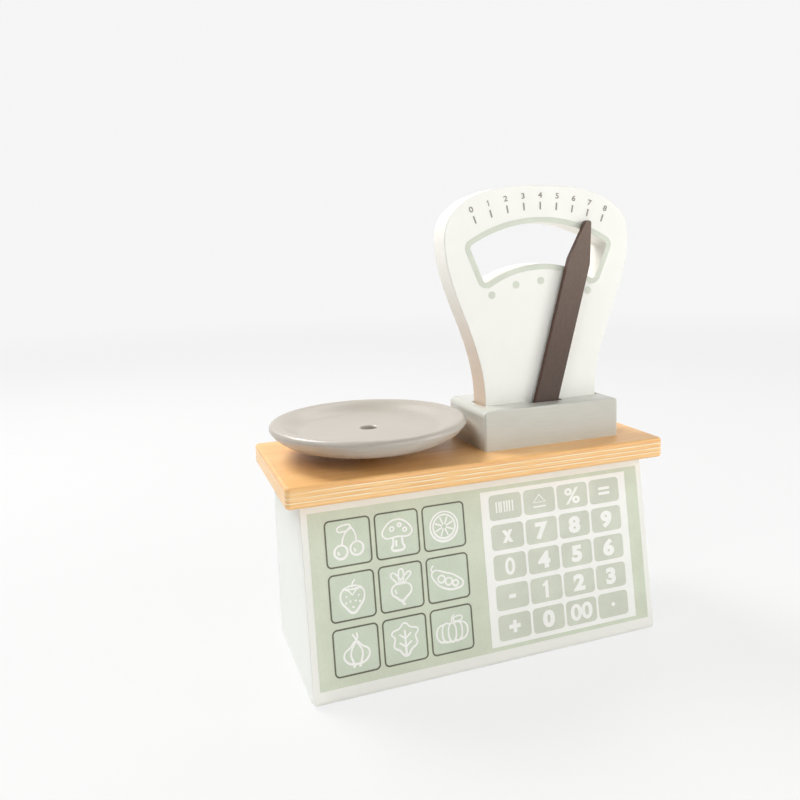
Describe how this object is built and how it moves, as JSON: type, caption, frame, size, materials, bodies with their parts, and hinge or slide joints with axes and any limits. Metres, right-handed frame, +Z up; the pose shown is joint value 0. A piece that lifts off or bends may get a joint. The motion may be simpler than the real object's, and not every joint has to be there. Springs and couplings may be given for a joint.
{
  "type": "toy shop scale",
  "caption": "Wooden toy shop scale: a round dish on a sprung stem turns a pointer over a dial board with an arched window; sloped front printed with picture squares and a keypad.",
  "frame": {"origin": "middle of the overall box's footprint, on the surface that the housing stands on", "axes": "+Z up, +X to the right along the top board as seen from the printed front, +Y to the back; the printed front faces -Y"},
  "size_m": [0.24, 0.12, 0.2835],
  "materials": {
    "board_wood": "clear-lacquered birch plywood, honey coloured, light plies on its edges",
    "body_paint": "fibreboard painted cream, satin",
    "base_wood": "bare fibreboard",
    "front_print": "matt screen print, sage green with white keys and dark outlines",
    "block_paint": "painted warm grey, satin to gloss",
    "dial_paint": "painted cream white, satin",
    "dial_print": "matt screen print, sage green and dark grey",
    "pointer_paint": "painted dark grey brown, satin",
    "dish_paint": "painted warm light grey, satin",
    "inner_wood": "bare pine",
    "arm_wood": "bare beech",
    "turned_wood": "bare turned beech",
    "steel": "zinc-plated",
    "washer_steel": "bright",
    "spring_steel": "spring wire"
  },
  "bodies": {
    "housing": {"base_plate": "base_wood", "front_panel": "body_paint", "back_panel": "body_paint", "left_panel": "body_paint", "right_panel": "body_paint", "corner_posts": "inner_wood", "base_screws": "steel", "board_dowels": "turned_wood", "top_board": "board_wood", "front_print": "front_print", "dial_block": "block_paint", "block_screws": "steel", "dial_board": "dial_paint", "dial_print": "dial_print", "pointer_pin": "steel", "pointer_washer": "washer_steel", "guide_bush": "turned_wood", "lower_guide": "inner_wood", "front_bearing": "inner_wood", "rear_bearing": "inner_wood", "bearing_screws": "steel", "spring_peg": "turned_wood", "return_spring": "spring_steel"},
    "dish_stem": {"dish": "dish_paint", "dish_screw": "steel", "dish_washer": "washer_steel", "stem": "turned_wood", "stop_collar": "inner_wood", "collar_pin": "steel", "stem_foot": "inner_wood"},
    "rocker": {"long_arm": "arm_wood", "upright_arm": "arm_wood", "rocker_shaft": "turned_wood", "shaft_pins": "steel"},
    "pointer": {"pointer": "pointer_paint"}
  },
  "joints": [
    {"name": "dish_travel", "type": "slide", "parent": "housing", "child": "dish_stem", "axis": [0, 0, -1], "range_m": [-0.0105, 0.0015], "stiffness_N_per_m": 120, "springref_m": -0.00663, "deforming": ["return_spring"]},
    {"name": "rocker_turn", "type": "hinge", "parent": "housing", "child": "rocker", "pos_m": [0.0515, 0, 0.0235], "axis": [0, -1, 0], "range_deg": [-5.5, 0.8]},
    {"name": "pointer_turn", "type": "hinge", "parent": "housing", "child": "pointer", "pos_m": [0.0515, -0.02275, 0.144], "axis": [0, 1, 0], "range_deg": [-36.06, 5.16]}
  ],
  "couplings": [
    {"joint": "rocker_turn", "follows": "dish_travel", "rad_per_m": 9.1324},
    {"joint": "pointer_turn", "follows": "dish_travel", "rad_per_m": 59.923}
  ]
}
